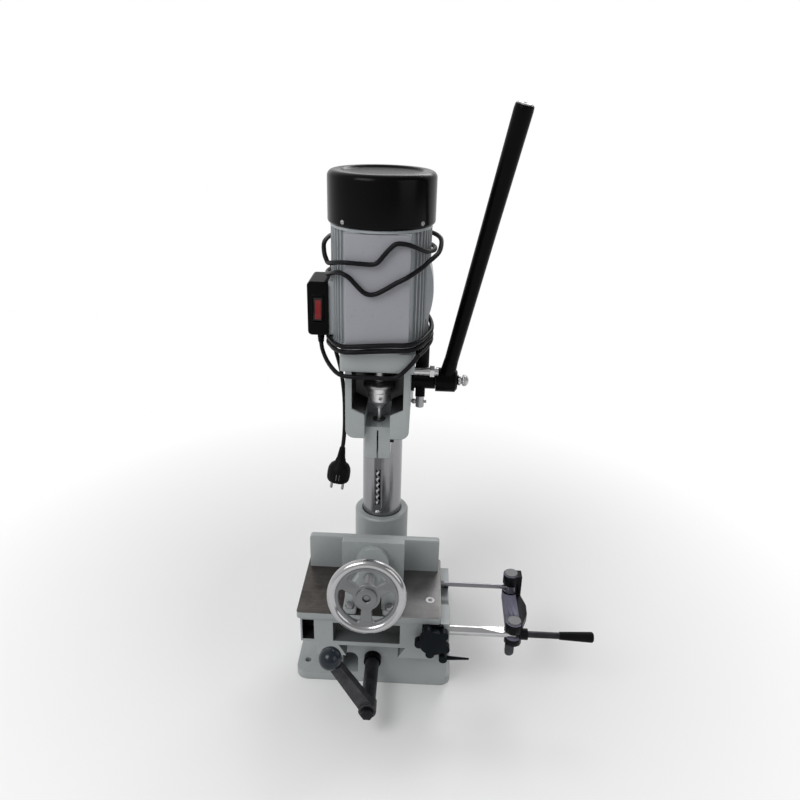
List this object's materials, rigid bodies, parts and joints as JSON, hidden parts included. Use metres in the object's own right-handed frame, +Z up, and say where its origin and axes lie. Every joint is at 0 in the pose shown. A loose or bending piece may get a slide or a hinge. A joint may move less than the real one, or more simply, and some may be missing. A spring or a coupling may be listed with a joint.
{
  "type": "benchtop mortiser",
  "caption": "Benchtop hollow-chisel mortiser: lever-fed motor head on a round column, cross-slide table with crank and lever feeds, screw vice with handwheel.",
  "frame": {"origin": "on the column's axis, at the underside of the base plate, which stands on the bench", "axes": "+Z up along the column, -Y towards the operator, +X to the operator's right"},
  "size_m": [0.512, 0.408, 0.9691],
  "materials": {
    "cast_paint": "light cool grey paint on castings",
    "panel_paint": "bluish grey paint on the motor's front panel",
    "ground_iron": "ground table top with dark patina",
    "dark_iron": "oiled dark steel and iron",
    "steel": "turned and ground steel",
    "chrome": "polished plating",
    "black_paint": "gloss black paint",
    "black_gloss": "gloss black moulding",
    "black_matte": "matt black grip",
    "red": "red rocker",
    "bronze": "bronze nut",
    "cord": "black flexible cord"
  },
  "bodies": {
    "base": {"base_casting": "cast_paint", "column_socket": "cast_paint", "socket_bolts": "steel", "column": "steel", "column_cap": "black_gloss", "rack": "steel", "screw_bearing": "black_paint"},
    "saddle": {"saddle": "cast_paint", "feed_nut": "bronze", "pivot_bar": "chrome", "bar_bracket": "black_paint", "table_gib": "dark_iron"},
    "y_crank": {"feed_screw": "dark_iron", "crank_arm": "dark_iron", "crank_ball": "black_gloss", "crank_nut": "steel"},
    "star": {"star_knob": "black_gloss", "star_stud": "steel"},
    "lock": {"lock_lever": "black_gloss"},
    "table": {"table": "ground_iron", "fence": "cast_paint", "table_bolts": "steel", "vice_bracket": "cast_paint", "link_rod": "steel"},
    "jaw": {"jaw": "cast_paint"},
    "handwheel": {"vice_screw": "steel", "handwheel": "chrome"},
    "side_lever": {"table_lever": "black_paint", "pivot_pins": "steel", "lever_tongue": "dark_iron", "feed_handle": "chrome", "feed_grip": "black_matte"},
    "head": {"head_casting": "cast_paint", "chisel_holder": "cast_paint", "holder_bolt": "dark_iron", "chisel": "steel", "motor_housing": "cast_paint", "motor_panel": "panel_paint", "fan_cover": "black_gloss", "cover_screws": "steel", "switch_box": "black_gloss", "cord_gland": "black_matte", "capacitor": "black_matte", "pinion_sleeve": "black_paint", "stop_stud": "chrome", "cord_lead": "cord", "cord_wrap": "cord", "cord_tail": "cord", "plug": "black_matte"},
    "rocker": {"rocker": "red"},
    "spindle": {"spindle": "steel", "chuck": "steel", "auger": "steel"},
    "down_lever": {"pinion_shaft": "steel", "lever_hub": "black_paint", "lever_stem": "black_paint", "lever_grip": "black_matte"},
    "pull_knob": {"pull_knob": "chrome"},
    "shaft_lock": {"shaft_lock": "steel"}
  },
  "joints": [
    {"name": "saddle_slide", "type": "slide", "parent": "base", "child": "saddle", "axis": [0, -1, 0], "range_m": [-0.012, 0.03]},
    {"name": "crank_turn", "type": "hinge", "parent": "base", "child": "y_crank", "pos_m": [0, -0.311, 0.057], "axis": [0, 1, 0], "range_deg": [-1081, 2701]},
    {"name": "table_slide", "type": "slide", "parent": "saddle", "child": "table", "axis": [1, 0, 0], "range_m": [-0.037, 0.037]},
    {"name": "table_lever_swing", "type": "hinge", "parent": "saddle", "child": "side_lever", "pos_m": [0.239, -0.211, 0.136], "axis": [0, 0, 1], "range_deg": [-25, 25]},
    {"name": "jaw_slide", "type": "slide", "parent": "table", "child": "jaw", "axis": [0, 0.9816, -0.1908], "range_m": [-0.018, 0.03]},
    {"name": "handwheel_turn", "type": "hinge", "parent": "jaw", "child": "handwheel", "pos_m": [-0.005, -0.281, 0.254], "axis": [0, 0.9816, -0.1908], "range_deg": [-1621, 2701]},
    {"name": "star_knob_turn", "type": "hinge", "parent": "saddle", "child": "star", "pos_m": [0.103, -0.242, 0.136], "axis": [0, 1, 0], "range_deg": [-360, 0]},
    {"name": "lock_lever_swing", "type": "hinge", "parent": "saddle", "child": "lock", "pos_m": [0.121, -0.236, 0.097], "axis": [0, 1, 0], "range_deg": [-50, 40]},
    {"name": "head_slide", "type": "slide", "parent": "base", "child": "head", "axis": [0, 0, 1], "range_m": [-0.047, 0.014]},
    {"name": "feed_lever_turn", "type": "hinge", "parent": "head", "child": "down_lever", "pos_m": [0.107, -0.063, 0.534], "axis": [1, 0, 0], "range_deg": [-29.8, 99.9]},
    {"name": "spindle_turn", "type": "hinge", "parent": "head", "child": "spindle", "pos_m": [0, -0.1195, 0.53], "axis": [0, 0, 1], "continuous": true},
    {"name": "rocker_tilt", "type": "hinge", "parent": "head", "child": "rocker", "pos_m": [-0.0915, -0.145, 0.674], "axis": [1, 0, 0], "range_deg": [0, 14]},
    {"name": "pull_knob_slide", "type": "slide", "parent": "down_lever", "child": "pull_knob", "axis": [1, 0, 0], "range_m": [0, 0.006], "stiffness_N_per_m": 1500},
    {"name": "shaft_lock_turn", "type": "hinge", "parent": "head", "child": "shaft_lock", "pos_m": [0.065, -0.063, 0.49], "axis": [0, 0, 1], "range_deg": [-270, 0]}
  ],
  "couplings": [
    {"joint": "crank_turn", "follows": "saddle_slide", "rad_per_m": 1570.8},
    {"joint": "handwheel_turn", "follows": "jaw_slide", "rad_per_m": 1570.8},
    {"joint": "table_lever_swing", "follows": "table_slide", "rad_per_m": -11.765},
    {"joint": "feed_lever_turn", "follows": "head_slide", "rad_per_m": -37.037}
  ]
}
